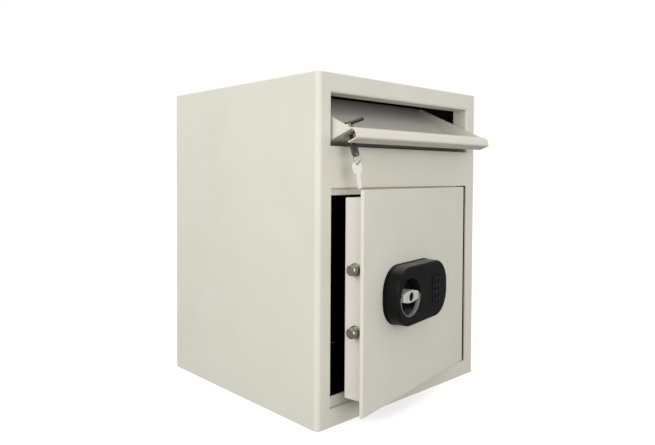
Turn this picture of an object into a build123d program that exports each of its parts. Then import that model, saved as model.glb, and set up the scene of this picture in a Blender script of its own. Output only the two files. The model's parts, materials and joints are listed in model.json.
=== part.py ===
"""Steel deposit cabinet: a tipping drop hopper above a door with a keypad bolt lock.

The frame is in millimetres: X to the right along the front, Y into the depth, Z up.
The origin is the centre of the base's underside. Flap and door pieces are drawn
shut, then turned about their hinges to the standing pose: flap down, door ajar.
"""
import os
from math import cos, radians, sin, tan

from build123d import *

# Cabinet
WIDTH = 400.0
DEPTH = 400.0
HEIGHT = 520.0
SHEET = 3.0
CORNER_BEND = 8.0
EDGE_ROUND = 2.0
LEFT, RIGHT = -WIDTH / 2, WIDTH / 2
FRONT, BACK = -DEPTH / 2, DEPTH / 2
INNER_FRONT = FRONT + SHEET
ANCHOR_RADIUS = 6.0
BASE_ANCHOR_SPACING = (260.0, 220.0)
BACK_ANCHOR_SPACING = (240.0, 240.0)
BACK_ANCHOR_Z = 180.0

# Hopper opening and its folded collar
HOPPER_X = (-174.0, 170.0)
HOPPER_Z = (413.5, 491.0)
COLLAR_WALL = 3.0
COLLAR_DEPTH = 28.8
OPENING_ROUND = 2.9

# Doorway and its stop frame
DOORWAY_X = (-174.0, 171.0)
DOORWAY_Z = (27.0, 352.0)
STOP_SHEET = 2.5
STOP_FACE_Y = FRONT + 6.5
STOP_RIGHT_X = 148.0
JAMB_DEPTH = 11.7
TOP_STOP_Z = 341.3
BOTTOM_STOP_Z = 42.5
BUMPER_RADIUS = 2.0
BUMPER_HEIGHT = 0.7
BUMPER_PLACES = ((-140.0, 346.0), (120.0, 346.0), (-168.0, 37.0), (120.0, 37.0))

# Flap
FLAP_SHEET = 2.0
FLAP_X = (-171.5, 166.5)
FLAP_FACE_Y = FRONT + 1.0
FLAP_TOP_Z = 489.2
FLAP_SKIRT_Z = 415.4
FLAP_HINGE_Y, FLAP_HINGE_Z = -184.1, 433.5
FLAP_OPEN_ANGLE = 70.4
LIP_REACH = 16.6
LIP_DROP = 16.0
CHEEK_DROP = 4.8
TRAY_SLOPE = 31.4
TRAY_START_Z = 431.6
TRAY_LENGTH = 126.0
TOOTH_PITCH = 6.6
TOOTH_LENGTH = 5.0
PIVOT_RADIUS = 3.0
BUSH_BODY_RADIUS = 5.0
RUNNING_GAP = 0.05

# Cam lock on the flap
LOCK_X, LOCK_Z = -154.5, 466.0
LOCK_BARREL_RADIUS = 7.2
LOCK_BEZEL_RADIUS = 8.6
PLUG_RADIUS = 5.2
PLUG_STAND = 2.6
CAM_LENGTH = 24.5
CAM_WIDTH = 9.0
CAM_SHEET = 2.5
CAM_Y = FLAP_FACE_Y + FLAP_SHEET + 14.0
CAM_RISE_ANGLE = 65.0
KEY_SHEET = 2.0
KEY_HOLE_REACH = 28.5
KEY_HOLE_SHIFT = 2.5
KEY_HOLE_RADIUS = 2.6
KEY_BOW = (14.0, 19.0)
SPARE_BOW = (16.8, 18.5)
SPARE_BLADE_END_Z = 351.0
SPARE_TILT = 12.0
RING_RADIUS = 7.0
RING_WIRE = 0.7

# Door
DOOR_HINGE_X, DOOR_HINGE_Y = 159.5, -190.5
DOOR_AJAR_ANGLE = 10.0
DOOR_X = (-172.0, 163.5)
DOOR_Z = (28.0, 350.2)
DOOR_SHEET = 5.5
DOOR_BACK_Y = FRONT + DOOR_SHEET
HINGE_PIN_RADIUS = 3.0
BRACKET_LEFT_X = 150.0
BRACKET_BACK_Y = -184.0
BRACKET_Z = ((352.5, 360.0), (20.0, 26.8))
KNUCKLE_LEFT_X = 153.5
KNUCKLE_BACK_Y = -185.5
KNUCKLE_Z = ((328.0, 350.2), (28.0, 50.0))
PIN_Z = ((330.0, 359.0), (20.8, 48.0))
CASE_X = (-157.0, 148.0)
CASE_Z = (44.5, 338.5)
CASE_BACK_Y = -157.0
CASE_SHEET = 1.5
CASE_SCREW_INSET = 12.0

# Bolt work
BOLT_RADIUS = 7.5
BOLT_Y = -177.0
BOLT_Z = (144.5, 235.0)
BOLT_TIP_X = -171.0
BOLT_REAR_X = -112.0
BUSH_RADIUS = 9.6
CARRIAGE_X = (-126.0, -58.0)
CARRIAGE_Y = (-171.0, -168.0)
CARRIAGE_Z = (128.0, 251.0)
CARRIAGE_SCREW_X = -120.0
CARRIAGE_SCREW_RADIUS = 2.0
GUIDE_X = -102.0
GUIDE_Z = (166.0, 217.0)
GUIDE_RADIUS = 3.0
SLIDE_GAP = 0.4
SOLENOID_X = -92.0
COIL_Z = (84.0, 122.0)
PLUNGER_RADIUS = 3.3
PLUNGER_TOP_Z = 127.0
CRANK_RADIUS = 14.0
CRANK_PIN_RADIUS = 3.0
CRANK_WIDTH = 11.0
CRANK_SWING = 45.0
THROW = 2 * CRANK_RADIUS * sin(radians(CRANK_SWING))

# Lock pod on the door
POD_X, POD_Z = -39.0, 190.0
POD_LENGTH, POD_HEIGHT = 161.0, 90.0
POD_CORNER = 39.0
POD_FRONT_Y = -226.0
POD_WALL = 3.0
POD_BASE = 3.0
DIAL_X = POD_X - 43.5
KEYPAD_X = POD_X + 41.0
DIAL_RADIUS = 30.2
CUP_RADIUS = 26.6
CUP_FLOOR_Y = -208.3
BAR_FRONT_Y = -227.6
KEYPAD_RADIUS = 29.2
LAMP_X = (-5.0, 0.0, 5.0)
LAMP_RISE = 24.2
LAMP_RADIUS = 1.2
KEY_COLUMNS = (-10.0, 0.0, 10.0)
KEY_ROWS = (16.5, 5.5, -5.5, -16.5)
KEY_SIZE = (8.4, 8.6)
KEY_CLEARANCE = 0.35
KEY_NAMES = ("1", "2", "3", "4", "5", "6", "7", "8", "9", "clear", "0", "enter")

FLAP_HINGE = Axis((0, FLAP_HINGE_Y, FLAP_HINGE_Z), (1, 0, 0))
DOOR_HINGE = Axis((DOOR_HINGE_X, DOOR_HINGE_Y, 0), (0, 0, 1))


def write(piece, name):
    """Label one finished piece and write it as STEP."""
    piece.part.label = name
    export_step(piece.part, f"parts/{name}.step")


def write_on_flap(piece, name):
    """Turn a piece drawn on the shut flap down to the open pose and write it."""
    piece.part = piece.part.rotate(FLAP_HINGE, FLAP_OPEN_ANGLE)
    write(piece, name)


def write_on_door(piece, name):
    """Turn a piece drawn on the shut door out to the ajar pose and write it."""
    piece.part = piece.part.rotate(DOOR_HINGE, DOOR_AJAR_ANGLE)
    write(piece, name)


def block(x, y, z, mode=Mode.ADD):
    """A box between two X, two Y and two Z values."""
    with Locations((sum(x) / 2, sum(y) / 2, sum(z) / 2)):
        Box(x[1] - x[0], y[1] - y[0], z[1] - z[0], mode=mode)


def rod_y(x, z, radius, y, mode=Mode.ADD):
    """A round rod along Y between two Y values."""
    with Locations(Location((x, sum(y) / 2, z), (90, 0, 0))):
        Cylinder(radius, y[1] - y[0], mode=mode)


def rod_x(y, z, radius, x, mode=Mode.ADD):
    """A round rod along X between two X values."""
    with Locations(Location((sum(x) / 2, y, z), (0, 90, 0))):
        Cylinder(radius, x[1] - x[0], mode=mode)


def rod_z(x, y, radius, z, mode=Mode.ADD):
    """A round rod along Z between two Z values."""
    with Locations((x, y, sum(z) / 2)):
        Cylinder(radius, z[1] - z[0], mode=mode)


def grow(pair, amount):
    """Move both ends of a pair outward."""
    return (pair[0] - amount, pair[1] + amount)


# ---------------------------------------------------------------- cabinet

def cabinet_shell():
    """One sheet bent round both sides and the front, with its two openings cut."""
    with BuildPart() as shell:
        with BuildSketch():
            Rectangle(WIDTH, DEPTH)
            corners = vertices().group_by(Axis.Y)[0]
            fillet(corners, CORNER_BEND)
            with BuildSketch(mode=Mode.PRIVATE) as inside:
                with Locations((0, SHEET)):
                    Rectangle(WIDTH - 2 * SHEET, DEPTH)
                fillet(vertices().group_by(Axis.Y)[0], CORNER_BEND - SHEET)
            add(inside.sketch, mode=Mode.SUBTRACT)
        extrude(amount=HEIGHT)
        top_edges = edges().group_by(Axis.Z)[-1].filter_by(lambda e: on_outside(e.center()))
        fillet(top_edges, EDGE_ROUND)
        cut_y = (FRONT - 1, INNER_FRONT + 1)
        block(grow(HOPPER_X, COLLAR_WALL), cut_y, (HOPPER_Z[0], HOPPER_Z[1] + COLLAR_WALL), Mode.SUBTRACT)
        block(DOORWAY_X, cut_y, DOORWAY_Z, Mode.SUBTRACT)
    write(shell, "cabinet_shell")


def on_outside(point):
    """True for a point on the shell's outer face, bends included."""
    beyond_sides = abs(point.X) > WIDTH / 2 - 0.1
    beyond_front = point.Y < FRONT + 0.1
    corner = max(abs(point.X) - (WIDTH / 2 - CORNER_BEND), 0), max(FRONT + CORNER_BEND - point.Y, 0)
    on_bend = min(corner) > 0 and (corner[0] ** 2 + corner[1] ** 2) ** 0.5 > CORNER_BEND - SHEET / 2
    return beyond_sides or beyond_front or on_bend


def flat_panels():
    """Top, base and back plates, welded inside the shell; base and back have anchor holes."""
    inner_x = (LEFT + SHEET, RIGHT - SHEET)
    inner_y = (INNER_FRONT, BACK - SHEET)
    with BuildPart() as top:
        block(inner_x, inner_y, (HEIGHT - SHEET, HEIGHT))
        fillet(top.edges().filter_by(Axis.Z).group_by(Axis.Y)[0], CORNER_BEND - SHEET)
    write(top, "top_plate")
    with BuildPart() as base:
        block(inner_x, inner_y, (0, SHEET))
        fillet(base.edges().filter_by(Axis.Z).group_by(Axis.Y)[0], CORNER_BEND - SHEET)
        with GridLocations(*BASE_ANCHOR_SPACING, 2, 2):
            Cylinder(ANCHOR_RADIUS, 4 * SHEET, mode=Mode.SUBTRACT)
    write(base, "base_plate")
    with BuildPart() as back:
        block(inner_x, (BACK - SHEET, BACK), (0, HEIGHT))
        for x in (-BACK_ANCHOR_SPACING[0] / 2, BACK_ANCHOR_SPACING[0] / 2):
            for z in (-BACK_ANCHOR_SPACING[1] / 2, BACK_ANCHOR_SPACING[1] / 2):
                rod_y(x, BACK_ANCHOR_Z + z, ANCHOR_RADIUS, (BACK - 2 * SHEET, BACK + SHEET), Mode.SUBTRACT)
    write(back, "back_plate")


def hopper_frame():
    """Collar folded back round the top and sides of the hopper opening."""
    collar_y = (FRONT, FRONT + COLLAR_DEPTH)
    slot_y = grow((CAM_Y, CAM_Y), CAM_SHEET / 2 + 1.0)
    with BuildPart() as frame:
        block(grow(HOPPER_X, COLLAR_WALL), collar_y, (HOPPER_Z[0], HOPPER_Z[1] + COLLAR_WALL))
        block(HOPPER_X, grow(collar_y, 1), (HOPPER_Z[0] - 1, HOPPER_Z[1]), Mode.SUBTRACT)
        fillet(inner_front_edges(frame.part), OPENING_ROUND)
        wall_x = (HOPPER_X[0] - COLLAR_WALL - 1, HOPPER_X[0] + 1)
        block(wall_x, slot_y, (LOCK_Z - 1.5, HOPPER_Z[1] - 2), Mode.SUBTRACT)
        for x in (HOPPER_X[0] - COLLAR_WALL / 2, HOPPER_X[1] + COLLAR_WALL / 2):
            wall = grow((x, x), COLLAR_WALL)
            rod_x(FLAP_HINGE_Y, FLAP_HINGE_Z, BUSH_BODY_RADIUS, wall, Mode.SUBTRACT)
    write(frame, "hopper_frame")


def inner_front_edges(part):
    """The three front edges round the inside of the collar."""
    front = part.edges().filter_by_position(Axis.Y, FRONT, FRONT)
    middle_x = sum(HOPPER_X) / 2
    top = front.filter_by(Axis.X).filter_by_position(Axis.Z, HOPPER_Z[1], HOPPER_Z[1])
    sides = front.filter_by(Axis.Z).sort_by(lambda e: abs(e.center().X - middle_x))[:2]
    return top + sides


def pivot_bushes():
    """Flanged bushes in the collar that carry the flap's two pivot pins."""
    flange = 1.4
    with BuildPart() as bushes:
        for face, out in ((HOPPER_X[0], -1), (HOPPER_X[1], 1)):
            body = sorted((face, face + out * (COLLAR_WALL + 1.5)))
            rim = sorted((face, face - out * flange))
            rod_x(FLAP_HINGE_Y, FLAP_HINGE_Z, BUSH_BODY_RADIUS, body)
            rod_x(FLAP_HINGE_Y, FLAP_HINGE_Z, BUSH_BODY_RADIUS + 2, rim)
            bore = grow((min(body + rim), max(body + rim)), 1)
            rod_x(FLAP_HINGE_Y, FLAP_HINGE_Z, PIVOT_RADIUS + RUNNING_GAP, bore, Mode.SUBTRACT)
    write(bushes, "flap_pivot_bushes")


def door_frame():
    """Jamb on the lock side with the top and bottom stop flanges behind the door's edge."""
    outer_z = grow(DOORWAY_Z, STOP_SHEET)
    jamb_x = (DOORWAY_X[0] - STOP_SHEET, DOORWAY_X[0])
    run_x = (jamb_x[0], STOP_RIGHT_X)
    return_y = (INNER_FRONT, STOP_FACE_Y + STOP_SHEET)
    flange_y = (STOP_FACE_Y, STOP_FACE_Y + STOP_SHEET)
    with BuildPart() as frame:
        block(jamb_x, (INNER_FRONT, INNER_FRONT + JAMB_DEPTH), outer_z)
        block(run_x, return_y, (DOORWAY_Z[1], outer_z[1]))
        block(run_x, flange_y, (TOP_STOP_Z, DOORWAY_Z[1]))
        block(run_x, return_y, (outer_z[0], DOORWAY_Z[0]))
        block(run_x, flange_y, (DOORWAY_Z[0], BOTTOM_STOP_Z))
    write(frame, "door_frame")


def door_bumpers():
    """Small pads on the stop flanges that the shut door lands on."""
    with BuildPart() as bumpers:
        for x, z in BUMPER_PLACES:
            rod_y(x, z, BUMPER_RADIUS, (STOP_FACE_Y - BUMPER_HEIGHT, STOP_FACE_Y))
    write(bumpers, "door_bumpers")


def baffle_plate():
    """Sloping plate under the flap that sends deposits to the back."""
    drop = tan(radians(TRAY_SLOPE))
    front, rear, height, thick = INNER_FRONT, -75.0, 408.0, 2.3
    fall = (rear - front) * drop
    with BuildPart() as baffle:
        with BuildSketch(Plane.YZ.offset(LEFT + CORNER_BEND)):
            with BuildLine():
                Polyline(
                    (front, height),
                    (rear, height - fall),
                    (rear, height - fall - thick),
                    (front, height - thick),
                    close=True,
                )
            make_face()
        extrude(amount=WIDTH - 2 * CORNER_BEND)
    write(baffle, "baffle_plate")


def hinge_brackets():
    """Blocks welded behind the front sheet, above and below the door's hinge side."""
    bore_radius = HINGE_PIN_RADIUS + RUNNING_GAP
    with BuildPart() as brackets:
        for z in BRACKET_Z:
            block((BRACKET_LEFT_X, RIGHT - CORNER_BEND), (INNER_FRONT, BRACKET_BACK_Y), z)
            rod_z(DOOR_HINGE_X, DOOR_HINGE_Y, bore_radius, grow(z, 1), Mode.SUBTRACT)
    write(brackets, "hinge_brackets")


# ---------------------------------------------------------------- flap

def flap_front_plate():
    """Front plate with its skirt below and the folded pull lip along its top."""
    middle_y = FLAP_FACE_Y + FLAP_SHEET / 2
    profile = (
        (middle_y, FLAP_SKIRT_Z),
        (middle_y, FLAP_TOP_Z - 2.2),
        (middle_y - 6.5, FLAP_TOP_Z + 2.3),
        (middle_y - LIP_REACH, FLAP_TOP_Z + 2.0),
        (middle_y - LIP_REACH, FLAP_TOP_Z - LIP_DROP),
    )
    with BuildPart() as plate:
        with BuildSketch(Plane.YZ.offset(FLAP_X[0])):
            with BuildLine():
                FilletPolyline(*profile, radius=(3.0, 2.5, 2.5))
            trace(line_width=FLAP_SHEET)
        extrude(amount=FLAP_X[1] - FLAP_X[0])
        rod_y(LOCK_X, LOCK_Z, LOCK_BARREL_RADIUS, (FLAP_FACE_Y - 5, FLAP_FACE_Y + 5), Mode.SUBTRACT)
    write_on_flap(plate, "flap_front_plate")


def tray_point(along, height=0.0):
    """A (Y, Z) point on the shut tray's underside, or the given height square above it."""
    slope = radians(TRAY_SLOPE)
    y = FLAP_FACE_Y + along * cos(slope) + height * sin(slope)
    z = TRAY_START_Z - along * sin(slope) + height * cos(slope)
    return (y, z)


def hopper_tray():
    """Sloping floor with a toothed rear edge, and a triangular cheek at each end."""
    start = FLAP_SHEET / cos(radians(TRAY_SLOPE))
    rise = start * sin(radians(TRAY_SLOPE))
    inner_y = FLAP_FACE_Y + FLAP_SHEET
    floor_front = (inner_y, TRAY_START_Z - rise)
    floor_top = (inner_y, TRAY_START_Z - rise + start)
    rear_low, rear_high = tray_point(TRAY_LENGTH), tray_point(TRAY_LENGTH, FLAP_SHEET)
    width = FLAP_X[1] - FLAP_X[0]
    teeth = int((width - 2 * FLAP_SHEET) / TOOTH_PITCH)
    first = sum(FLAP_X) / 2 - teeth * TOOTH_PITCH / 2
    tooth_plane = Plane(
        origin=(0, *rear_low), x_dir=(1, 0, 0),
        z_dir=(0, sin(radians(TRAY_SLOPE)), cos(radians(TRAY_SLOPE))),
    )
    with BuildPart() as tray:
        with BuildSketch(Plane.YZ.offset(FLAP_X[0])):
            with BuildLine():
                Polyline(floor_front, rear_low, rear_high, floor_top, close=True)
            make_face()
        extrude(amount=width)
        with BuildSketch(tooth_plane):
            with BuildLine():
                edge = [(first, -1)]
                for i in range(teeth):
                    start_x = first + i * TOOTH_PITCH
                    edge += [(start_x + TOOTH_PITCH / 2, TOOTH_LENGTH), (start_x + TOOTH_PITCH, 0)]
                edge += [(first + teeth * TOOTH_PITCH, -1)]
                Polyline(*edge, close=True)
            make_face()
        extrude(amount=FLAP_SHEET)
        for x in (FLAP_X[0], FLAP_X[1] - FLAP_SHEET):
            with BuildSketch(Plane.YZ.offset(x)):
                with BuildLine():
                    Polyline(
                        floor_top,
                        (inner_y, FLAP_TOP_Z - CHEEK_DROP),
                        tray_point(TRAY_LENGTH - 5, FLAP_SHEET + 5),
                        tray_point(TRAY_LENGTH - 3, FLAP_SHEET / 2),
                        tray_point(10, FLAP_SHEET / 2),
                        close=True,
                    )
                make_face()
            extrude(amount=FLAP_SHEET)
            pin_x = (x - 1, x + FLAP_SHEET + 1)
            rod_x(FLAP_HINGE_Y, FLAP_HINGE_Z, PIVOT_RADIUS, pin_x, Mode.SUBTRACT)
    write_on_flap(tray, "hopper_tray")


def flap_pivot_pins():
    """Headed pins pressed through the cheeks into the collar's bushes."""
    with BuildPart() as pins:
        for cheek, out in ((FLAP_X[0] + FLAP_SHEET, -1), (FLAP_X[1] - FLAP_SHEET, 1)):
            shank = sorted((cheek, cheek + out * 10.0))
            head = sorted((cheek, cheek - out * 2.0))
            rod_x(FLAP_HINGE_Y, FLAP_HINGE_Z, PIVOT_RADIUS, shank)
            rod_x(FLAP_HINGE_Y, FLAP_HINGE_Z, PIVOT_RADIUS + 2, head)
    write_on_flap(pins, "flap_pivot_pins")


def cam_lock_body():
    """Barrel with a round bezel on the outside of the flap."""
    barrel_y = (FLAP_FACE_Y, CAM_Y - CAM_SHEET / 2 - 0.5)
    bezel_y = (FLAP_FACE_Y - 2.2, FLAP_FACE_Y)
    with BuildPart() as body:
        rod_y(LOCK_X, LOCK_Z, LOCK_BARREL_RADIUS, barrel_y)
        rod_y(LOCK_X, LOCK_Z, LOCK_BEZEL_RADIUS, bezel_y)
        fillet(body.edges().filter_by(GeomType.CIRCLE).group_by(Axis.Y)[0], 1.2)
        through = grow((bezel_y[0], barrel_y[1]), 1)
        rod_y(LOCK_X, LOCK_Z, PLUG_RADIUS + RUNNING_GAP, through, Mode.SUBTRACT)
    write_on_flap(body, "cam_lock_body")


def cam_lock_nut():
    """Hexagon nut that clamps the lock to the plate from inside."""
    inner_y = FLAP_FACE_Y + FLAP_SHEET
    with BuildPart() as nut:
        with BuildSketch(Plane.XZ.offset(-inner_y)):
            with Locations((LOCK_X, LOCK_Z)):
                RegularPolygon(10.2, 6)
                Circle(LOCK_BARREL_RADIUS, mode=Mode.SUBTRACT)
        extrude(amount=-4.0)
    write_on_flap(nut, "cam_lock_nut")


def lock_plug():
    """Turning plug with a keyway in its face."""
    plug_y = (FLAP_FACE_Y - PLUG_STAND, CAM_Y - CAM_SHEET / 2)
    with BuildPart() as plug:
        rod_y(LOCK_X, LOCK_Z, PLUG_RADIUS, plug_y)
        keyway = (LOCK_X - 3.6, LOCK_X + 3.6)
        block(keyway, (plug_y[0] - 1, plug_y[0] + 10), grow((LOCK_Z, LOCK_Z), 1.15), Mode.SUBTRACT)
    write_on_flap(plug, "lock_plug")


def lock_cam():
    """Flat tongue on the plug's rear that catches behind the collar's jamb."""
    tongue = Plane.XZ.offset(-CAM_Y - CAM_SHEET / 2)
    with BuildPart() as cam:
        with BuildSketch(tongue):
            with Locations(Location((LOCK_X, LOCK_Z), CAM_RISE_ANGLE)):
                Circle(6.4)
                with Locations((CAM_LENGTH / 2, 0)):
                    RectangleRounded(CAM_LENGTH, CAM_WIDTH, 2.0)
        extrude(amount=CAM_SHEET)
    write_on_flap(cam, "lock_cam")


def cam_screw():
    """Screw head that holds the cam on the plug."""
    rear = CAM_Y + CAM_SHEET / 2
    with BuildPart() as screw:
        rod_y(LOCK_X, LOCK_Z, 4.5, (rear, rear + 2.5))
        fillet(screw.edges().filter_by(GeomType.CIRCLE).group_by(Axis.Y)[-1], 1.0)
    write_on_flap(screw, "cam_screw")


def lock_key():
    """Flat key in the plug, with a rounded bow and its ring hole."""
    face = FLAP_FACE_Y - PLUG_STAND
    bow_y = face - KEY_HOLE_REACH - KEY_HOLE_RADIUS - 1 + KEY_BOW[1] / 2
    blade_y = (bow_y, face + 9)
    with BuildPart() as key:
        with BuildSketch(Plane.XY.offset(LOCK_Z - KEY_SHEET / 2)):
            with Locations((LOCK_X, sum(blade_y) / 2)):
                Rectangle(6.4, blade_y[1] - blade_y[0])
            with Locations((LOCK_X, bow_y)):
                RectangleRounded(*KEY_BOW, 5.0)
            with Locations((LOCK_X + KEY_HOLE_SHIFT, face - KEY_HOLE_REACH)):
                Circle(KEY_HOLE_RADIUS, mode=Mode.SUBTRACT)
        extrude(amount=KEY_SHEET)
    write_on_flap(key, "lock_key")


def ring_hang_point():
    """Centre of the key's ring hole with the flap open, as (X, Y, Z)."""
    turn = radians(FLAP_OPEN_ANGLE)
    y = FLAP_FACE_Y - PLUG_STAND - KEY_HOLE_REACH - FLAP_HINGE_Y
    z = LOCK_Z - FLAP_HINGE_Z
    hang_y = FLAP_HINGE_Y + y * cos(turn) - z * sin(turn)
    hang_z = FLAP_HINGE_Z + y * sin(turn) + z * cos(turn)
    return (LOCK_X + KEY_HOLE_SHIFT, hang_y, hang_z)


def key_ring():
    """Wire ring through the key's hole, hanging free."""
    x, y, z = ring_hang_point()
    with BuildPart() as ring:
        with Locations(Location((x, y, z - RING_RADIUS), (0, 90, 0))):
            Torus(RING_RADIUS, RING_WIRE)
    write(ring, "key_ring")


def spare_key():
    """Second key, hanging a little askew from the bottom of the ring."""
    x, y, z = ring_hang_point()
    hole_z = z - 2 * RING_RADIUS
    hang_axis = Axis((x, y, hole_z), (0, 1, 0))
    with BuildPart() as key:
        with BuildSketch(Plane.XZ.offset(-y - KEY_SHEET / 2)):
            bow_z = hole_z + KEY_HOLE_RADIUS + 1 - SPARE_BOW[1] / 2
            with Locations((x, bow_z)):
                RectangleRounded(*SPARE_BOW, 5.5)
            blade_z = (SPARE_BLADE_END_Z, bow_z)
            with Locations((x, sum(blade_z) / 2)):
                Rectangle(7.0, blade_z[1] - blade_z[0])
            for rise in (3, 8):
                with Locations((x + 3.5, SPARE_BLADE_END_Z + rise)):
                    Rectangle(2.4, 2.0, mode=Mode.SUBTRACT)
            with Locations((x, hole_z)):
                Circle(KEY_HOLE_RADIUS, mode=Mode.SUBTRACT)
        extrude(amount=KEY_SHEET)
    key.part = key.part.rotate(hang_axis, -SPARE_TILT)
    write(key, "spare_key")


# ---------------------------------------------------------------- door

def door_panel():
    """Thick flat door plate with holes for the spindle and the keypad cable."""
    with BuildPart() as panel:
        block(DOOR_X, (FRONT, DOOR_BACK_Y), DOOR_Z)
        fillet(panel.faces().sort_by(Axis.Y)[0].edges(), 0.8)
        for x in (DIAL_X, KEYPAD_X):
            rod_y(x, POD_Z, 8.0, (FRONT - 1, DOOR_BACK_Y + 1), Mode.SUBTRACT)
    write_on_door(panel, "door_panel")


def hinge_knuckles():
    """Two blocks welded to the door's back that hold the hinge pins."""
    with BuildPart() as knuckles:
        for z in KNUCKLE_Z:
            block((KNUCKLE_LEFT_X, DOOR_X[1]), (DOOR_BACK_Y, KNUCKLE_BACK_Y), z)
            rod_z(DOOR_HINGE_X, DOOR_HINGE_Y, HINGE_PIN_RADIUS, grow(z, 1), Mode.SUBTRACT)
    write_on_door(knuckles, "hinge_knuckles")


def hinge_pins():
    """Pins pressed in the knuckles and running in the cabinet's brackets."""
    with BuildPart() as pins:
        for z in PIN_Z:
            rod_z(DOOR_HINGE_X, DOOR_HINGE_Y, HINGE_PIN_RADIUS, z)
    write_on_door(pins, "door_hinge_pins")


def case_corners():
    """The X and Z of the lock case's four corner screws."""
    xs = (CASE_X[0] + CASE_SCREW_INSET, CASE_X[1] - CASE_SCREW_INSET)
    zs = (CASE_Z[0] + CASE_SCREW_INSET, CASE_Z[1] - CASE_SCREW_INSET)
    return [(x, z) for x in xs for z in zs]


def lock_case():
    """Pan over the bolt work, open towards the door plate."""
    with BuildPart() as case:
        block(CASE_X, (DOOR_BACK_Y, CASE_BACK_Y), CASE_Z)
        rear = case.faces().sort_by(Axis.Y)[-1]
        fillet(rear.edges(), 3.0)
        inner_y = (DOOR_BACK_Y - 1, CASE_BACK_Y - CASE_SHEET)
        block(grow(CASE_X, -CASE_SHEET), inner_y, grow(CASE_Z, -CASE_SHEET), Mode.SUBTRACT)
        for z in BOLT_Z:
            wall = grow((CASE_X[0], CASE_X[0]), 3)
            rod_x(BOLT_Y, z, BUSH_RADIUS - 1.2, wall, Mode.SUBTRACT)
        for x, z in case_corners():
            rod_y(x, z, 2.2, grow((CASE_BACK_Y, CASE_BACK_Y), 3), Mode.SUBTRACT)
        block((20, 100), grow((CASE_BACK_Y, CASE_BACK_Y), 3), (70, 140), Mode.SUBTRACT)
    write_on_door(case, "lock_case")


def case_fixings():
    """Posts on the door plate and the screws that hold the case to them."""
    post_end = CASE_BACK_Y - CASE_SHEET
    with BuildPart() as posts:
        for x, z in case_corners():
            rod_y(x, z, 4.5, (DOOR_BACK_Y, post_end))
            rod_y(x, z, 2.05, (post_end - 14, post_end + 1), Mode.SUBTRACT)
    write_on_door(posts, "case_posts")
    with BuildPart() as screws:
        for x, z in case_corners():
            rod_y(x, z, 2.0, (post_end - 12, CASE_BACK_Y))
            rod_y(x, z, 4.0, (CASE_BACK_Y, CASE_BACK_Y + 2.4))
            rod_y(x, z, 1.5, (CASE_BACK_Y + 1.2, CASE_BACK_Y + 3), Mode.SUBTRACT)
    write_on_door(screws, "case_screws")


def bolt_bushings():
    """Flanged bushes in the case wall that guide the two bolts."""
    with BuildPart() as bushings:
        for z in BOLT_Z:
            rod_x(BOLT_Y, z, BUSH_RADIUS, (CASE_X[0] - 2.4, CASE_X[0]))
            rod_x(BOLT_Y, z, BUSH_RADIUS - 1.2, (CASE_X[0], CASE_X[0] + 10))
            rod_x(BOLT_Y, z, BOLT_RADIUS + RUNNING_GAP, grow((CASE_X[0], CASE_X[0]), 20), Mode.SUBTRACT)
    write_on_door(bushings, "bolt_bushings")


def locking_bolts():
    """Two round bolts, flattened at the rear where the carriage plate sits."""
    with BuildPart() as bolts:
        for z in BOLT_Z:
            rod_x(BOLT_Y, z, BOLT_RADIUS, (BOLT_TIP_X, BOLT_REAR_X))
        chamfer(bolts.edges().filter_by(GeomType.CIRCLE).group_by(Axis.X)[0], 1.2)
        for z in BOLT_Z:
            seat_x = (CARRIAGE_X[0] - 5, BOLT_REAR_X + 1)
            block(seat_x, (CARRIAGE_Y[0], CARRIAGE_Y[1] + 3), grow((z, z), 10), Mode.SUBTRACT)
            thread_y = (CARRIAGE_Y[0] - 8, CARRIAGE_Y[0] + 1)
            rod_y(CARRIAGE_SCREW_X, z, CARRIAGE_SCREW_RADIUS + RUNNING_GAP, thread_y, Mode.SUBTRACT)
    write_on_door(bolts, "locking_bolts")


def carriage_plate():
    """Sliding plate that joins the bolts, slotted for the crank pin and two guides."""
    pin_x = DIAL_X + THROW / 2
    pin_z = POD_Z + CRANK_RADIUS
    with BuildPart() as carriage:
        block(CARRIAGE_X, CARRIAGE_Y, CARRIAGE_Z)
        slot_y = grow(CARRIAGE_Y, 1)
        pin_gap = CRANK_PIN_RADIUS + 0.7
        low = POD_Z + CRANK_RADIUS * cos(radians(CRANK_SWING)) - pin_gap
        block(grow((pin_x, pin_x), pin_gap), slot_y, (low, pin_z + pin_gap), Mode.SUBTRACT)
        slot_reach = GUIDE_RADIUS + SLIDE_GAP
        for z in GUIDE_Z:
            slot_x = (GUIDE_X - slot_reach, GUIDE_X + THROW + slot_reach)
            block(slot_x, slot_y, grow((z, z), slot_reach), Mode.SUBTRACT)
        for z in BOLT_Z:
            rod_y(CARRIAGE_SCREW_X, z, CARRIAGE_SCREW_RADIUS + RUNNING_GAP, slot_y, Mode.SUBTRACT)
        for x in (SOLENOID_X, SOLENOID_X + THROW):
            notch_z = (CARRIAGE_Z[0] - 1, CARRIAGE_Z[0] + 8)
            block(grow((x, x), PLUNGER_RADIUS + 1.5), slot_y, notch_z, Mode.SUBTRACT)
    write_on_door(carriage, "carriage_plate")


def carriage_fixings():
    """Screws that hold the bolts to the plate, and the studs that guide the plate."""
    with BuildPart() as screws:
        for z in BOLT_Z:
            rod_y(CARRIAGE_SCREW_X, z, CARRIAGE_SCREW_RADIUS, (CARRIAGE_Y[0] - 6, CARRIAGE_Y[1]))
            rod_y(CARRIAGE_SCREW_X, z, CARRIAGE_SCREW_RADIUS + 1.8, (CARRIAGE_Y[1], CARRIAGE_Y[1] + 2))
    write_on_door(screws, "carriage_screws")
    with BuildPart() as studs:
        for z in GUIDE_Z:
            rod_y(GUIDE_X, z, GUIDE_RADIUS, (DOOR_BACK_Y, CARRIAGE_Y[1] + 2.5))
    write_on_door(studs, "guide_studs")


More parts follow.
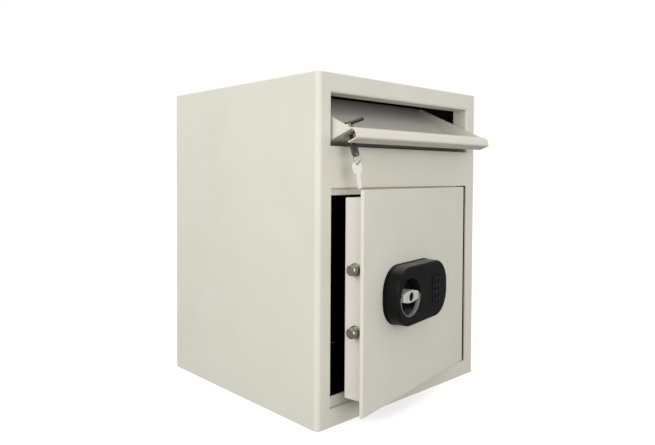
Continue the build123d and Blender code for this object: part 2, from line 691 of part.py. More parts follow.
def solenoid():
    """Coil body under the carriage, and the plunger that can rise into its notch."""
    x, y = SOLENOID_X, sum(CARRIAGE_Y) / 2
    with BuildPart() as coil:
        block(grow((x, x), 12), (DOOR_BACK_Y, y + 9), COIL_Z)
        rod_z(x, y, PLUNGER_RADIUS + 0.3, (COIL_Z[0] + 2, COIL_Z[1] + 1), Mode.SUBTRACT)
    write_on_door(coil, "solenoid_body")
    with BuildPart() as plunger:
        rod_z(x, y, PLUNGER_RADIUS, (COIL_Z[0] + 4, PLUNGER_TOP_Z))
    write_on_door(plunger, "solenoid_plunger")


def battery_pack():
    """Open holder with four cells, reached through a lid on the back of the case."""
    tray_y = (-186.0, CASE_BACK_Y - CASE_SHEET - 1)
    tray_x, tray_z, wall = (30.0, 92.0), (72.0, 138.0), 2.0
    cell_x, cell_y, cell_radius = (36.0, 86.0), -171.5, 7.2
    cell_pitch, cap_radius, cap_length = 15.2, 2.6, 1.4
    lid_x, lid_z = (15.0, 105.0), (65.0, 145.0)
    with BuildPart() as tray:
        block(tray_x, tray_y, tray_z)
        block(grow(tray_x, -wall), (tray_y[0] + wall, tray_y[1] + 1), grow(tray_z, -wall), Mode.SUBTRACT)
        foot = 9.0
        block(grow((61.0, 61.0), foot), (DOOR_BACK_Y, tray_y[0]), grow((105.0, 105.0), foot))
    write_on_door(tray, "battery_holder")
    with BuildPart() as cells:
        for i in range(4):
            z = sum(tray_z) / 2 + (i - 1.5) * cell_pitch
            rod_x(cell_y, z, cell_radius, cell_x)
            rod_x(cell_y, z, cap_radius, (cell_x[1], cell_x[1] + cap_length))
    write_on_door(cells, "battery_cells")
    with BuildPart() as lid:
        block(lid_x, (CASE_BACK_Y, CASE_BACK_Y + 2.2), lid_z)
        fillet(lid.faces().sort_by(Axis.Y)[-1].edges(), 1.2)
        plug_y = (CASE_BACK_Y - CASE_SHEET - 0.5, CASE_BACK_Y)
        block(grow(lid_x, -5.4), plug_y, grow(lid_z, -5.4))
        block(grow(lid_x, -8), (plug_y[0] - 0.5, plug_y[1]), grow(lid_z, -8), Mode.SUBTRACT)
        for z in (92, 99, 106, 113):
            block((48, 72), (CASE_BACK_Y + 1.5, CASE_BACK_Y + 3), (z, z + 2.5), Mode.SUBTRACT)
    write_on_door(lid, "battery_lid")


def circuit_board():
    """Control board on two spacers, with its chips and a plug socket."""
    board_y = (-186.0, -184.4)
    with BuildPart() as board:
        block((20, 90), board_y, (200, 265))
        for z in (208, 257):
            rod_y(28, z, 3.0, (DOOR_BACK_Y, board_y[0]))
            rod_y(82, z, 3.0, (DOOR_BACK_Y, board_y[0]))
        block((38, 58), (board_y[1], board_y[1] + 3), (222, 242))
        block((66, 78), (board_y[1], board_y[1] + 6), (236, 256))
        block((36, 70), (board_y[1], board_y[1] + 8), (204, 212))
    write_on_door(board, "circuit_board")


# ---------------------------------------------------------------- lock pod

def pod_plane(y):
    """A sketch plane facing out of the door at the given Y, centred on the pod."""
    return Plane(origin=(POD_X, y, POD_Z), x_dir=(1, 0, 0), z_dir=(0, -1, 0))


def pod_outline(inset):
    """The pod's long rounded outline, drawn in the current sketch and inset all round."""
    RectangleRounded(POD_LENGTH - 2 * inset, POD_HEIGHT - 2 * inset, POD_CORNER - inset)


def pod_base():
    """Thin gasket plate between the door and the pod."""
    with BuildPart() as base:
        with BuildSketch(pod_plane(FRONT)):
            pod_outline(-1.0)
            with Locations((DIAL_X - POD_X, 0), (KEYPAD_X - POD_X, 0)):
                Circle(8.0, mode=Mode.SUBTRACT)
        extrude(amount=POD_BASE)
    write_on_door(base, "pod_base")


def pod_housing():
    """Moulded cover with the dial's well and the keypad's pocket in its front."""
    rear_y = FRONT - POD_BASE
    with BuildPart() as housing:
        with BuildSketch(pod_plane(rear_y - 1.2)):
            pod_outline(0.0)
        extrude(amount=rear_y - 1.2 - POD_FRONT_Y)
        fillet(housing.faces().sort_by(Axis.Y)[0].edges(), 3.2)
        with BuildSketch(pod_plane(rear_y)):
            pod_outline(1.5)
        extrude(amount=1.2)
        with BuildSketch(pod_plane(rear_y)):
            pod_outline(1.5 + POD_WALL)
        extrude(amount=rear_y - POD_FRONT_Y - POD_WALL, mode=Mode.SUBTRACT)
        rod_y(DIAL_X, POD_Z, DIAL_RADIUS + 3, (POD_FRONT_Y + 1, rear_y))
        rod_y(KEYPAD_X, POD_Z, KEYPAD_RADIUS + 2.5, (POD_FRONT_Y + 1, POD_FRONT_Y + 9))
        rod_y(DIAL_X, POD_Z, DIAL_RADIUS + 0.1, (POD_FRONT_Y - 1, POD_FRONT_Y + 7), Mode.SUBTRACT)
        rod_y(DIAL_X, POD_Z, CUP_RADIUS + 0.5, (POD_FRONT_Y - 1, CUP_FLOOR_Y + 0.4), Mode.SUBTRACT)
        rod_y(DIAL_X, POD_Z, 5.0 + RUNNING_GAP, (POD_FRONT_Y, rear_y + 1), Mode.SUBTRACT)
        rod_y(KEYPAD_X, POD_Z, KEYPAD_RADIUS + 0.1, (POD_FRONT_Y - 1, POD_FRONT_Y + 1.8), Mode.SUBTRACT)
        rod_y(KEYPAD_X, POD_Z, KEYPAD_RADIUS - 1.4, (POD_FRONT_Y, POD_FRONT_Y + 6.5), Mode.SUBTRACT)
    write_on_door(housing, "pod_housing")


def dial_ring():
    """Bevelled ring round the dial's well."""
    lip = CUP_RADIUS + 0.5
    with BuildPart() as ring:
        with BuildSketch(Plane.XY):
            with BuildLine():
                Polyline(
                    (lip, -7.0), (DIAL_RADIUS, -7.0), (DIAL_RADIUS, 0.2),
                    (DIAL_RADIUS - 0.7, 0.8), (DIAL_RADIUS - 1.4, 0.5), (lip, -4.4),
                    close=True,
                )
            make_face()
        revolve(axis=Axis.Y)
    ring.part = ring.part.mirror(Plane.XZ).translate((DIAL_X, POD_FRONT_Y, POD_Z))
    write_on_door(ring, "dial_ring")


def knob_cup():
    """Dished turning cup behind the grip bar."""
    rim_y = POD_FRONT_Y + 4.0
    with BuildPart() as cup:
        rod_y(DIAL_X, POD_Z, CUP_RADIUS, (rim_y, CUP_FLOOR_Y))
        rod_y(DIAL_X, POD_Z, CUP_RADIUS - 1.2, (rim_y - 1, CUP_FLOOR_Y - 2), Mode.SUBTRACT)
        fillet(cup.edges().filter_by(GeomType.CIRCLE).group_by(Axis.Y)[0], 0.3)
    write_on_door(cup, "knob_cup")


def bar_plane(y):
    """A sketch plane facing out of the door at the given Y, centred on the dial."""
    return Plane(origin=(DIAL_X, y, POD_Z), x_dir=(1, 0, 0), z_dir=(0, -1, 0))


def grip_bar():
    """Grip bar across the cup, widest at its middle, with the override lock's bore."""
    floor_y = CUP_FLOOR_Y - 2.0
    with BuildPart() as bar:
        with BuildSketch(bar_plane(floor_y)):
            with BuildLine():
                ThreePointArc((-22.6, 5.4), (0, 9.2), (22.6, 5.4))
                Line((22.6, 5.4), (22.6, -5.4))
                ThreePointArc((22.6, -5.4), (0, -9.2), (-22.6, -5.4))
                Line((-22.6, -5.4), (-22.6, 5.4))
            make_face()
        extrude(amount=floor_y - BAR_FRONT_Y)
        fillet(bar.faces().sort_by(Axis.Y)[0].edges(), 1.6)
        rod_y(DIAL_X, POD_Z, 6.9, (BAR_FRONT_Y - 1, BAR_FRONT_Y + 9), Mode.SUBTRACT)
    write_on_door(bar, "grip_bar")


def override_cylinder():
    """Round emergency lock in the middle of the grip bar, with its keyway."""
    face = BAR_FRONT_Y + 1.2
    with BuildPart() as cylinder:
        rod_y(DIAL_X, POD_Z, 6.85, (face, BAR_FRONT_Y + 9))
        fillet(cylinder.edges().filter_by(GeomType.CIRCLE).group_by(Axis.Y)[0], 0.8)
        block(grow((DIAL_X, DIAL_X), 0.9), (face - 1, face + 5), grow((POD_Z, POD_Z), 3.6), Mode.SUBTRACT)
    write_on_door(cylinder, "override_cylinder")


def knob_spindle():
    """Shaft from the cup through the door to the crank."""
    with BuildPart() as spindle:
        rod_y(DIAL_X, POD_Z, 5.0, (CUP_FLOOR_Y, -176.0))
    write_on_door(spindle, "knob_spindle")


def drive_crank():
    """Arm on the spindle's end whose pin moves the carriage plate."""
    swing = radians(CRANK_SWING)
    pin_x = DIAL_X + CRANK_RADIUS * sin(swing)
    pin_z = POD_Z + CRANK_RADIUS * cos(swing)
    arm_y = (-176.0, -173.0)
    arm_middle = ((pin_x - DIAL_X) / 2, (pin_z - POD_Z) / 2)
    with BuildPart() as crank:
        with BuildSketch(bar_plane(arm_y[1])):
            with Locations(Location((*arm_middle, 0), (0, 0, CRANK_SWING))):
                SlotCenterToCenter(CRANK_RADIUS, CRANK_WIDTH)
        extrude(amount=arm_y[1] - arm_y[0])
        rod_y(pin_x, pin_z, CRANK_PIN_RADIUS, (arm_y[0], CARRIAGE_Y[1] + 2))
    write_on_door(crank, "drive_crank")


def keypad_plate():
    """Round front plate with a window for each key and three small lamp holes."""
    with BuildPart() as plate:
        rod_y(KEYPAD_X, POD_Z, KEYPAD_RADIUS, (POD_FRONT_Y - 0.3, POD_FRONT_Y + 1.8))
        fillet(plate.edges().filter_by(GeomType.CIRCLE).group_by(Axis.Y)[0], 0.5)
        for x in KEY_COLUMNS:
            for z in KEY_ROWS:
                wide = grow((KEYPAD_X + x, KEYPAD_X + x), KEY_SIZE[0] / 2 + KEY_CLEARANCE)
                high = grow((POD_Z + z, POD_Z + z), KEY_SIZE[1] / 2 + KEY_CLEARANCE)
                block(wide, (POD_FRONT_Y - 2, POD_FRONT_Y + 3), high, Mode.SUBTRACT)
        for x in LAMP_X:
            hole_y = (POD_FRONT_Y - 2, POD_FRONT_Y + 3)
            rod_y(KEYPAD_X + x, POD_Z + LAMP_RISE, LAMP_RADIUS + RUNNING_GAP, hole_y, Mode.SUBTRACT)
    write_on_door(plate, "keypad_plate")


def status_lamps():
    """Three indicator lamps above the keys."""
    with BuildPart() as lamps:
        for x in LAMP_X:
            rod_y(KEYPAD_X + x, POD_Z + LAMP_RISE, LAMP_RADIUS, (POD_FRONT_Y - 0.6, POD_FRONT_Y + 4))
    write_on_door(lamps, "status_lamps")


def keypad_keys():
    """Twelve separate keys in four rows of three."""
    places = [(x, z) for z in KEY_ROWS for x in KEY_COLUMNS]
    for name, (x, z) in zip(KEY_NAMES, places):
        with BuildPart() as key:
            wide = grow((KEYPAD_X + x, KEYPAD_X + x), KEY_SIZE[0] / 2)
            high = grow((POD_Z + z, POD_Z + z), KEY_SIZE[1] / 2)
            block(wide, (POD_FRONT_Y - 1.5, POD_FRONT_Y + 3.6), high)
            fillet(key.faces().sort_by(Axis.Y)[0].edges(), 0.7)
        write_on_door(key, f"key_{name}")


os.makedirs("parts", exist_ok=True)
for make_piece in (
    cabinet_shell, flat_panels, hopper_frame, pivot_bushes, door_frame, door_bumpers, baffle_plate,
    hinge_brackets,
    flap_front_plate, hopper_tray, flap_pivot_pins, cam_lock_body, cam_lock_nut,
    lock_plug, lock_cam, cam_screw, lock_key, key_ring, spare_key,
    door_panel, hinge_knuckles, hinge_pins, lock_case, case_fixings, bolt_bushings, battery_pack,
    circuit_board, solenoid, locking_bolts, carriage_plate, carriage_fixings,
    pod_base, pod_housing, dial_ring, keypad_plate, status_lamps, keypad_keys,
    knob_cup, grip_bar, override_cylinder, knob_spindle, drive_crank,
):
    make_piece()
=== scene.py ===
"""Looks for the steel deposit cabinet: materials, key legends, studio light and camera."""
import json
import math

import bmesh
import bpy
from mathutils import Matrix, Vector


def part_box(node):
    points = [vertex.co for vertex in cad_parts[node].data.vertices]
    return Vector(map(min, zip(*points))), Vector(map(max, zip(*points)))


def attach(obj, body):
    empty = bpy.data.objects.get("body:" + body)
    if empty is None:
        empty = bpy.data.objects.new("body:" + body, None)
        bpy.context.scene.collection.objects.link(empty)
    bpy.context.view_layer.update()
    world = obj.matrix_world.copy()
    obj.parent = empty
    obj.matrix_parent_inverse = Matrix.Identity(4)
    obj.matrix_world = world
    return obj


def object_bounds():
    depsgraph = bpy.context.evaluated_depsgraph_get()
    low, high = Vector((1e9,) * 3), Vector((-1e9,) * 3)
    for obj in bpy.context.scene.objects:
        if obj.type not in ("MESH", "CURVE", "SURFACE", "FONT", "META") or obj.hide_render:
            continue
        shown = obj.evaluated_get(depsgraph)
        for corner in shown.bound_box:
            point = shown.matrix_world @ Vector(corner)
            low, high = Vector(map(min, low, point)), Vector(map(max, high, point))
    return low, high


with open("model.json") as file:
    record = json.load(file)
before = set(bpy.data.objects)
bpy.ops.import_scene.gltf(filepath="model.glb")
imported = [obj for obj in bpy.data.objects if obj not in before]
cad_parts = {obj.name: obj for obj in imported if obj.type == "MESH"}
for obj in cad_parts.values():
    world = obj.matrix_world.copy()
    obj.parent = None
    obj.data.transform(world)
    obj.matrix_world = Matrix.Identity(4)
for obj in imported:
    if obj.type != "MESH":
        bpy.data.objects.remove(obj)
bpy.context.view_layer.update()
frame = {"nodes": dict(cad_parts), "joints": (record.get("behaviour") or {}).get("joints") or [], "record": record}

MM = 0.001

# Colours are linear RGB; a shade is the second tone of the colour above it
COAT = (0.640, 0.622, 0.556)
COAT_SHADE = (0.622, 0.604, 0.538)
# Painted shade: near-black colour for the inside of the cabinet
INSIDE_PAINTED_SHADE = (0.045, 0.042, 0.036)
BLACK = (0.005, 0.005, 0.006)
BLACK_SHADE = (0.009, 0.009, 0.009)
KEY_BLACK = (0.007, 0.007, 0.008)
# Painted sheen for the up-facing black plastic
PAINTED_TOP_SHEEN = (0.075, 0.072, 0.066)
LEGEND = (0.10, 0.10, 0.10)
LEGEND_SHADE = (0.13, 0.13, 0.13)
SILVER = (0.62, 0.62, 0.60)
TRIM_GREY = (0.30, 0.30, 0.29)
NICKEL = (0.42, 0.40, 0.35)
POLISHED = (0.95, 0.94, 0.88)
# Painted shade for the lock key, which hangs in the shadow of the lip
KEY_PAINTED_SHADE = (0.16, 0.15, 0.13)
CAM_DULL = (0.07, 0.065, 0.055)
ZINC = (0.30, 0.29, 0.26)
BRASS = (0.62, 0.45, 0.19)
PAD_WHITE = (0.80, 0.80, 0.77)
PAD_SHADE = (0.74, 0.74, 0.71)
BOARD_GREEN = (0.012, 0.09, 0.035)
BOARD_SHADE = (0.016, 0.11, 0.04)
CELL_DARK = (0.02, 0.02, 0.025)
COIL_BROWN = (0.16, 0.05, 0.02)
COIL_SHADE = (0.12, 0.04, 0.015)
LAMP_DARK = (0.020, 0.006, 0.006)
LAMP_SHADE = (0.012, 0.005, 0.005)
FLOOR = (0.93, 0.93, 0.93)
FLOOR_BOUNCE = (0.30, 0.295, 0.28)
FILL = (1.0, 0.995, 0.98)

# Noise scales are features per metre
COAT_BROAD_SCALE = 9.0
COAT_SPECK_SCALE = 900.0
COAT_GRAIN_SCALE = 1300.0
PAINT_GRAIN_SCALE = 700.0
PLASTIC_GRAIN_SCALE = 1500.0
RUBBER_GRAIN_SCALE = 1100.0
SMEAR_SCALE = 60.0
SCRATCH_SCALE = 1400.0
FLOOR_SCALE = 2.0

# Depths of surface grain, and the radii that soften hard edges
COAT_GRAIN = 0.05 * MM
PLASTIC_GRAIN = 0.03 * MM
SCRATCH_DEPTH = 0.01 * MM
COAT_EDGE = 0.9 * MM
PLASTIC_EDGE = 0.5 * MM
RUBBER_EDGE = 0.6 * MM
METAL_EDGE = 0.4 * MM
EDGE_SAMPLES = 4

# Specular levels of the coat and the plastics
COAT_GLOSS = 0.4
PLASTIC_GLOSS = 0.08

# The painted shade on the inside of the walls starts a little within their sheets
WALL_SKIN = 0.4 * MM
FRONT_SKIN = 2.6 * MM


# ------------------------------------------------------------------ nodes

def new_material(name):
    """A node material with its nodes, links and Principled shader."""
    material = bpy.data.materials.new(name)
    material.use_nodes = True
    tree = material.node_tree
    return material, tree.nodes, tree.links, tree.nodes["Principled BSDF"]


def object_place(nodes):
    """The place on the object in metres."""
    return nodes.new("ShaderNodeTexCoord").outputs["Object"]


def object_noise(nodes, links, scale, detail=3.0):
    """Noise in object coordinates at the given number of features per metre."""
    noise = nodes.new("ShaderNodeTexNoise")
    noise.inputs["Scale"].default_value = scale
    noise.inputs["Detail"].default_value = detail
    noise.inputs["Roughness"].default_value = 0.55
    links.new(object_place(nodes), noise.inputs["Vector"])
    return noise.outputs["Fac"]


def blend_colours(nodes, links, factor, low, high):
    """A colour that runs from low to high with the factor."""
    ramp = nodes.new("ShaderNodeValToRGB")
    ramp.color_ramp.elements[0].position = 0.35
    ramp.color_ramp.elements[0].color = (*low, 1)
    ramp.color_ramp.elements[1].position = 0.65
    ramp.color_ramp.elements[1].color = (*high, 1)
    links.new(factor, ramp.inputs["Fac"])
    return ramp.outputs["Color"]


def map_range(nodes, links, value, source, target=(0.0, 1.0)):
    """The value carried from the source range to the target range and held at its ends."""
    spread = nodes.new("ShaderNodeMapRange")
    names = ("From Min", "From Max", "To Min", "To Max")
    for name, limit in zip(names, (*source, *target)):
        spread.inputs[name].default_value = limit
    links.new(value, spread.inputs["Value"])
    return spread.outputs["Result"]


def vary(nodes, links, factor, low, high):
    """A number that runs from low to high with the factor of a noise."""
    return map_range(nodes, links, factor, (0.3, 0.7), (low, high))


def split_xyz(nodes, links, vector):
    """The X, Y and Z sockets of a vector."""
    split = nodes.new("ShaderNodeSeparateXYZ")
    links.new(vector, split.inputs["Vector"])
    return split.outputs


def calculate(nodes, links, operation, first, second):
    """The result of one Math node on a socket and a socket or number."""
    node = nodes.new("ShaderNodeMath")
    node.operation = operation
    links.new(first, node.inputs[0])
    if isinstance(second, bpy.types.NodeSocket):
        links.new(second, node.inputs[1])
    else:
        node.inputs[1].default_value = second
    return node.outputs["Value"]


def box_mask(nodes, links, low, high):
    """One inside the box between two corners, zero outside it."""
    place = split_xyz(nodes, links, object_place(nodes))
    mask = None
    for axis, start, end in zip("XYZ", low, high):
        for operation, limit in (("GREATER_THAN", start), ("LESS_THAN", end)):
            test = calculate(nodes, links, operation, place[axis], limit)
            mask = test if mask is None else calculate(nodes, links, "MULTIPLY", mask, test)
    return mask


def bump_from(nodes, links, height, depth, strength, normal=None):
    """A bump normal of the given real depth in metres."""
    bump = nodes.new("ShaderNodeBump")
    bump.inputs["Strength"].default_value = strength
    bump.inputs["Distance"].default_value = depth
    links.new(height, bump.inputs["Height"])
    if normal is not None:
        links.new(normal, bump.inputs["Normal"])
    return bump.outputs["Normal"]


def soft_edges(nodes, radius):
    """A normal rounded over the edges."""
    bevel = nodes.new("ShaderNodeBevel")
    bevel.samples = EDGE_SAMPLES
    bevel.inputs["Radius"].default_value = radius
    return bevel.outputs["Normal"]


def blend_towards(material, factor, colour):
    """Mix the material's base colour towards another colour with the factor."""
    nodes, links = material.node_tree.nodes, material.node_tree.links
    shader = nodes["Principled BSDF"]
    base = shader.inputs["Base Color"].links[0].from_socket
    mix = nodes.new("ShaderNodeMix")
    mix.data_type = "RGBA"
    links.new(factor, mix.inputs["Factor"])
    links.new(base, mix.inputs["A"])
    mix.inputs["B"].default_value = (*colour, 1)
    links.new(mix.outputs["Result"], shader.inputs["Base Color"])


def show_to_camera(nodes, links, seen, lighting, output):
    """Send one shader to the camera and another to every other ray."""
    path = nodes.new("ShaderNodeLightPath")
    mix = nodes.new("ShaderNodeMixShader")
    links.new(path.outputs["Is Camera Ray"], mix.inputs["Fac"])
    links.new(lighting, mix.inputs[1])
    links.new(seen, mix.inputs[2])
    links.new(mix.outputs["Shader"], output.inputs["Surface"])


# ------------------------------------------------------------------ materials

def powder_coat(name):
    """Fine textured powder coat in a warm light grey."""
    material, nodes, links, shader = new_material(name)
    broad = object_noise(nodes, links, COAT_BROAD_SCALE, 2.0)
    links.new(blend_colours(nodes, links, broad, COAT_SHADE, COAT), shader.inputs["Base Color"])
    speck = object_noise(nodes, links, COAT_SPECK_SCALE)
    links.new(vary(nodes, links, speck, 0.40, 0.54), shader.inputs["Roughness"])
    grain = object_noise(nodes, links, COAT_GRAIN_SCALE, 2.0)
    rounded = soft_edges(nodes, COAT_EDGE)
    links.new(bump_from(nodes, links, grain, COAT_GRAIN, 0.35, rounded), shader.inputs["Normal"])
    shader.inputs["Specular IOR Level"].default_value = COAT_GLOSS
    return material


def wall_coat(name):
    """Powder coat with painted shade, a near-black colour, on the inside of the cabinet's walls."""
    material = powder_coat(name)
    nodes, links = material.node_tree.nodes, material.node_tree.links
    low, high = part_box("back_plate")
    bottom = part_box("base_plate")[1].z
    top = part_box("top_plate")[0].z
    start = (-high.x - WALL_SKIN, -high.y + FRONT_SKIN, bottom - WALL_SKIN)
    end = (high.x + WALL_SKIN, low.y + WALL_SKIN, top + WALL_SKIN)
    # Painted shade: everything within the box of the walls is coloured near-black
    blend_towards(material, box_mask(nodes, links, start, end), INSIDE_PAINTED_SHADE)
    return material


def painted_shade_plate(name):
    """Painted shade for plates that stay inside the cabinet: a near-black grainy colour."""
    material, nodes, links, shader = new_material(name)
    grain = object_noise(nodes, links, PAINT_GRAIN_SCALE)
    links.new(blend_colours(nodes, links, grain, INSIDE_PAINTED_SHADE, BLACK_SHADE), shader.inputs["Base Color"])
    links.new(bump_from(nodes, links, grain, COAT_GRAIN, 0.3), shader.inputs["Normal"])
    shader.inputs["Roughness"].default_value = 0.6
    return material


def moulded_plastic(name, low, high, roughness, grain_scale=PLASTIC_GRAIN_SCALE, edge=PLASTIC_EDGE):
    """Moulded plastic with a fine spark-eroded grain."""
    material, nodes, links, shader = new_material(name)
    grain = object_noise(nodes, links, grain_scale, 2.0)
    smear = object_noise(nodes, links, SMEAR_SCALE)
    links.new(blend_colours(nodes, links, smear, low, high), shader.inputs["Base Color"])
    links.new(vary(nodes, links, smear, *roughness), shader.inputs["Roughness"])
    rounded = soft_edges(nodes, edge)
    links.new(bump_from(nodes, links, grain, PLASTIC_GRAIN, 0.3, rounded), shader.inputs["Normal"])
    shader.inputs["Specular IOR Level"].default_value = PLASTIC_GLOSS
    return material


def metal(name, colour, roughness, tarnish=0.86, metallic=1.0):
    """Plated metal with fine scratches; tarnish is how bright its duller tone is."""
    material, nodes, links, shader = new_material(name)
    scratches = object_noise(nodes, links, SCRATCH_SCALE)
    tone = tuple(tarnish * part for part in colour)
    links.new(blend_colours(nodes, links, scratches, tone, colour), shader.inputs["Base Color"])
    links.new(vary(nodes, links, scratches, *roughness), shader.inputs["Roughness"])
    rounded = soft_edges(nodes, METAL_EDGE)
    links.new(bump_from(nodes, links, scratches, SCRATCH_DEPTH, 0.12, rounded), shader.inputs["Normal"])
    shader.inputs["Metallic"].default_value = metallic
    return material


def trim_with_painted_reflection(name):
    """Dial trim: satin grey round its lower half, with a painted dark reflection in black round its upper half."""
    material = metal(name, TRIM_GREY, (0.34, 0.46), metallic=0.7)
    nodes, links = material.node_tree.nodes, material.node_tree.links
    low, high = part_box("dial_ring")
    middle = (low.z + high.z) / 2
    height = split_xyz(nodes, links, object_place(nodes))["Z"]
    # Painted reflection: the upper half is blended to black
    blend_towards(material, map_range(nodes, links, height, (middle - 1 * MM, middle + 3 * MM)), BLACK)
    return material


def pod_plastic(name):
    """Satin black plastic with a painted sheen, a lighter grey, on what faces up."""
    material = moulded_plastic(name, BLACK, BLACK_SHADE, (0.34, 0.44))
    nodes, links = material.node_tree.nodes, material.node_tree.links
    facing = nodes.new("ShaderNodeNewGeometry").outputs["Normal"]
    upward = split_xyz(nodes, links, facing)["Z"]
    # Painted sheen: faces that point up are lightened to grey
    blend_towards(material, map_range(nodes, links, upward, (0.75, 1.0)), PAINTED_TOP_SHEEN)
    return material


def floor_material():
    """Plain white studio floor that throws only a little light back up."""
    material, nodes, links, shader = new_material("studio_floor")
    broad = object_noise(nodes, links, FLOOR_SCALE, 2.0)
    pale = tuple(0.985 * part for part in FLOOR)
    links.new(blend_colours(nodes, links, broad, pale, FLOOR), shader.inputs["Base Color"])
    shader.inputs["Roughness"].default_value = 0.9
    shader.inputs["Specular IOR Level"].default_value = 0.0
    shader.inputs["Emission Color"].default_value = (1, 1, 1, 1)
    shader.inputs["Emission Strength"].default_value = FLOOR_GLOW
    dull = nodes.new("ShaderNodeBsdfDiffuse")
    dull.inputs["Color"].default_value = (*FLOOR_BOUNCE, 1)
    output = nodes["Material Output"]
    show_to_camera(nodes, links, shader.outputs["BSDF"], dull.outputs["BSDF"], output)
    return material


MATERIALS = {
    "powder_coat": powder_coat("powder_coat_outside"),
    "zinc_steel": metal("zinc_plate", ZINC, (0.30, 0.45)),
    "bright_steel": metal("nickel_plate", NICKEL, (0.20, 0.32), tarnish=0.6),
    "brass_bush": metal("turned_brass", BRASS, (0.25, 0.35)),
    "white_pad": moulded_plastic("pad_rubber", PAD_WHITE, PAD_SHADE, (0.5, 0.6)),
    "black_plastic": pod_plastic("pod_plastic"),
    "silver_trim": trim_with_painted_reflection("satin_silver"),
    "green_board": moulded_plastic("solder_mask", BOARD_GREEN, BOARD_SHADE, (0.3, 0.4)),
    "cell_wrap": moulded_plastic("cell_sleeve", CELL_DARK, BLACK_SHADE, (0.2, 0.3)),
    "coil_wrap": moulded_plastic("coil_tape", COIL_BROWN, COIL_SHADE, (0.4, 0.5)),
    "lamp_lens": moulded_plastic("lamp_plastic", LAMP_DARK, LAMP_SHADE, (0.3, 0.4)),
}
WALL_COAT = wall_coat("powder_coat_walls")
KEY_RUBBER = moulded_plastic(
    "key_rubber", KEY_BLACK, BLACK_SHADE, (0.5, 0.62), RUBBER_GRAIN_SCALE, RUBBER_EDGE)
LEGEND_INK = moulded_plastic("legend_ink", LEGEND, LEGEND_SHADE, (0.5, 0.6))

# Nodes that don't have the material of their slot
SPECIAL = {
    # The baffle gets painted shade in place of its coat
    "baffle_plate": painted_shade_plate("inside_painted_shade"),
    "grip_bar": metal("satin_bar", SILVER, (0.4, 0.5), tarnish=0.95, metallic=0.35),
    "override_cylinder": moulded_plastic("cylinder_black", KEY_BLACK, BLACK_SHADE, (0.5, 0.6)),
    "spare_key": metal("polished_key", POLISHED, (0.25, 0.35), tarnish=0.95, metallic=0.4),
    # The lock key is darkened by painted shade
    "lock_key": metal("worn_key", KEY_PAINTED_SHADE, (0.3, 0.45), tarnish=0.7),
    "lock_cam": metal("dull_cam", CAM_DULL, (0.45, 0.6), tarnish=0.7, metallic=0.8),
}
WALLS = ("cabinet_shell", "top_plate", "base_plate", "back_plate")
SPECIAL.update({name: WALL_COAT for name in WALLS})
BUTTONS = [name for name in frame["nodes"] if name.startswith("key_") and name != "key_ring"]
SPECIAL.update({name: KEY_RUBBER for name in BUTTONS})


def paint_nodes():
    """Give every CAD node the material of its slot, or its own."""
    slots = {part["node"]: part["material_slot"] for part in frame["record"]["subparts"]}
    for name, node in frame["nodes"].items():
        node.data.materials.clear()
        node.data.materials.append(SPECIAL.get(name, MATERIALS[slots[name]]))


# ------------------------------------------------------------------ key legends

# Figures of the buttons that aren't named by their digit
LEGENDS = {"clear": "*", "enter": "#"}
LEGEND_HEIGHT = 5.0 * MM
LEGEND_DEPTH = 0.06 * MM
LEGEND_CURVE_STEPS = 3


def key_legend(joint):
    """Raised ink figure on the face of one keypad button."""
    name = joint["child"].removeprefix("button_")
    inward = Vector(joint["axis"])
    right = Vector((inward.y, -inward.x, 0))
    outward = -inward
    low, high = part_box("key_" + name)
    middle = (low + high) / 2
    node = frame["nodes"]["key_" + name]
    reach = max((vertex.co - middle).dot(outward) for vertex in node.data.vertices)
    text = bpy.data.curves.new("legend_" + name, "FONT")
    text.body = LEGENDS.get(name, name)
    text.size = LEGEND_HEIGHT
    text.extrude = LEGEND_DEPTH
    text.align_x = "CENTER"
    text.align_y = "CENTER"
    text.resolution_u = LEGEND_CURVE_STEPS
    holder = bpy.data.objects.new("legend_text", text)
    mesh = bpy.data.meshes.new_from_object(holder)
    bpy.data.objects.remove(holder)
    turn = Matrix((right, Vector((0, 0, 1)), outward)).transposed().to_4x4()
    mesh.transform(Matrix.Translation(middle + outward * reach) @ turn)
    mesh.materials.clear()
    mesh.materials.append(LEGEND_INK)
    piece = bpy.data.objects.new("legend_" + name, mesh)
    bpy.context.scene.collection.objects.link(piece)
    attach(piece, joint["child"])


# ------------------------------------------------------------------ stage

CAMERA_PLACE = Vector((-0.77178, -0.82481, 0.37348))
CAMERA_YAW = math.radians(43.10)
CAMERA_PITCH = math.radians(-1.383)
CAMERA_ROLL = math.radians(0.313)
CAMERA_LENS = 32.69
CAMERA_SENSOR = 36.0
CAMERA_SHIFT = (0.0045, -0.0531)
CAMERA_CLIP = (0.01, 100.0)
FLOOR_SIZE = 30.0
FLOOR_DROP = 0.2 * MM
FLOOR_GLOW = 0.42
FILL_STRENGTH = 0.76
LIGHT_TARGET = Vector((0, 0, 0.26))


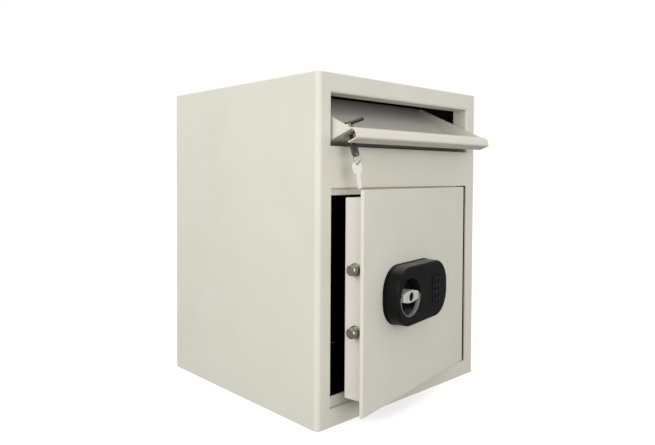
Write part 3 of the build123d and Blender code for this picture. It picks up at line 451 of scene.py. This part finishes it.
def make_camera():
    """Camera at the viewing angle of the reference."""
    data = bpy.data.cameras.new("camera")
    data.lens = CAMERA_LENS
    data.sensor_width = CAMERA_SENSOR
    data.shift_x, data.shift_y = CAMERA_SHIFT
    data.clip_start, data.clip_end = CAMERA_CLIP
    camera = bpy.data.objects.new("camera", data)
    bpy.context.scene.collection.objects.link(camera)
    turn = Matrix.Rotation(-CAMERA_YAW, 4, "Z") @ Matrix.Rotation(math.pi / 2 + CAMERA_PITCH, 4, "X")
    camera.matrix_world = Matrix.Translation(CAMERA_PLACE) @ turn @ Matrix.Rotation(CAMERA_ROLL, 4, "Z")
    bpy.context.scene.camera = camera


def make_floor():
    """Large pale floor under the cabinet."""
    shape = bmesh.new()
    bmesh.ops.create_grid(shape, x_segments=2, y_segments=2, size=FLOOR_SIZE / 2)
    mesh = bpy.data.meshes.new("floor")
    shape.to_mesh(mesh)
    shape.free()
    mesh.materials.append(floor_material())
    floor = bpy.data.objects.new("floor", mesh)
    bpy.context.scene.collection.objects.link(floor)
    floor.location.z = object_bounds()[0][2] - FLOOR_DROP


def soft_box(name, place, size, power):
    """Square area light that faces the cabinet, with its power in watts."""
    data = bpy.data.lights.new(name, "AREA")
    data.shape = "SQUARE"
    data.size = size
    data.energy = power
    light = bpy.data.objects.new(name, data)
    bpy.context.scene.collection.objects.link(light)
    light.location = place
    light.rotation_euler = (LIGHT_TARGET - Vector(place)).to_track_quat("-Z", "Y").to_euler()


def make_world():
    """White backdrop for the camera and an even soft fill for the light."""
    world = bpy.data.worlds.new("studio")
    bpy.context.scene.world = world
    world.use_nodes = True
    nodes, links = world.node_tree.nodes, world.node_tree.links
    fill = nodes["Background"]
    fill.inputs["Color"].default_value = (*FILL, 1)
    fill.inputs["Strength"].default_value = FILL_STRENGTH
    backdrop = nodes.new("ShaderNodeBackground")
    backdrop.inputs["Color"].default_value = (1, 1, 1, 1)
    backdrop.inputs["Strength"].default_value = 1.0
    output = nodes["World Output"]
    show_to_camera(nodes, links, backdrop.outputs["Background"], fill.outputs["Background"], output)


def light_stage():
    """Soft boxes at the left, in front and above."""
    soft_box("key_light", (-2.2, -0.1, 1.2), 1.6, 29)
    soft_box("front_light", (-0.8, -2.5, 0.5), 1.8, 38)
    soft_box("top_light", (0.2, 0.6, 2.6), 2.0, 4)
    bpy.context.scene.view_settings.view_transform = "Standard"
    bpy.context.scene.view_settings.look = "None"


paint_nodes()
for button_joint in frame["joints"]:
    if button_joint["child"].startswith("button_"):
        key_legend(button_joint)
make_camera()
make_floor()
make_world()
light_stage()
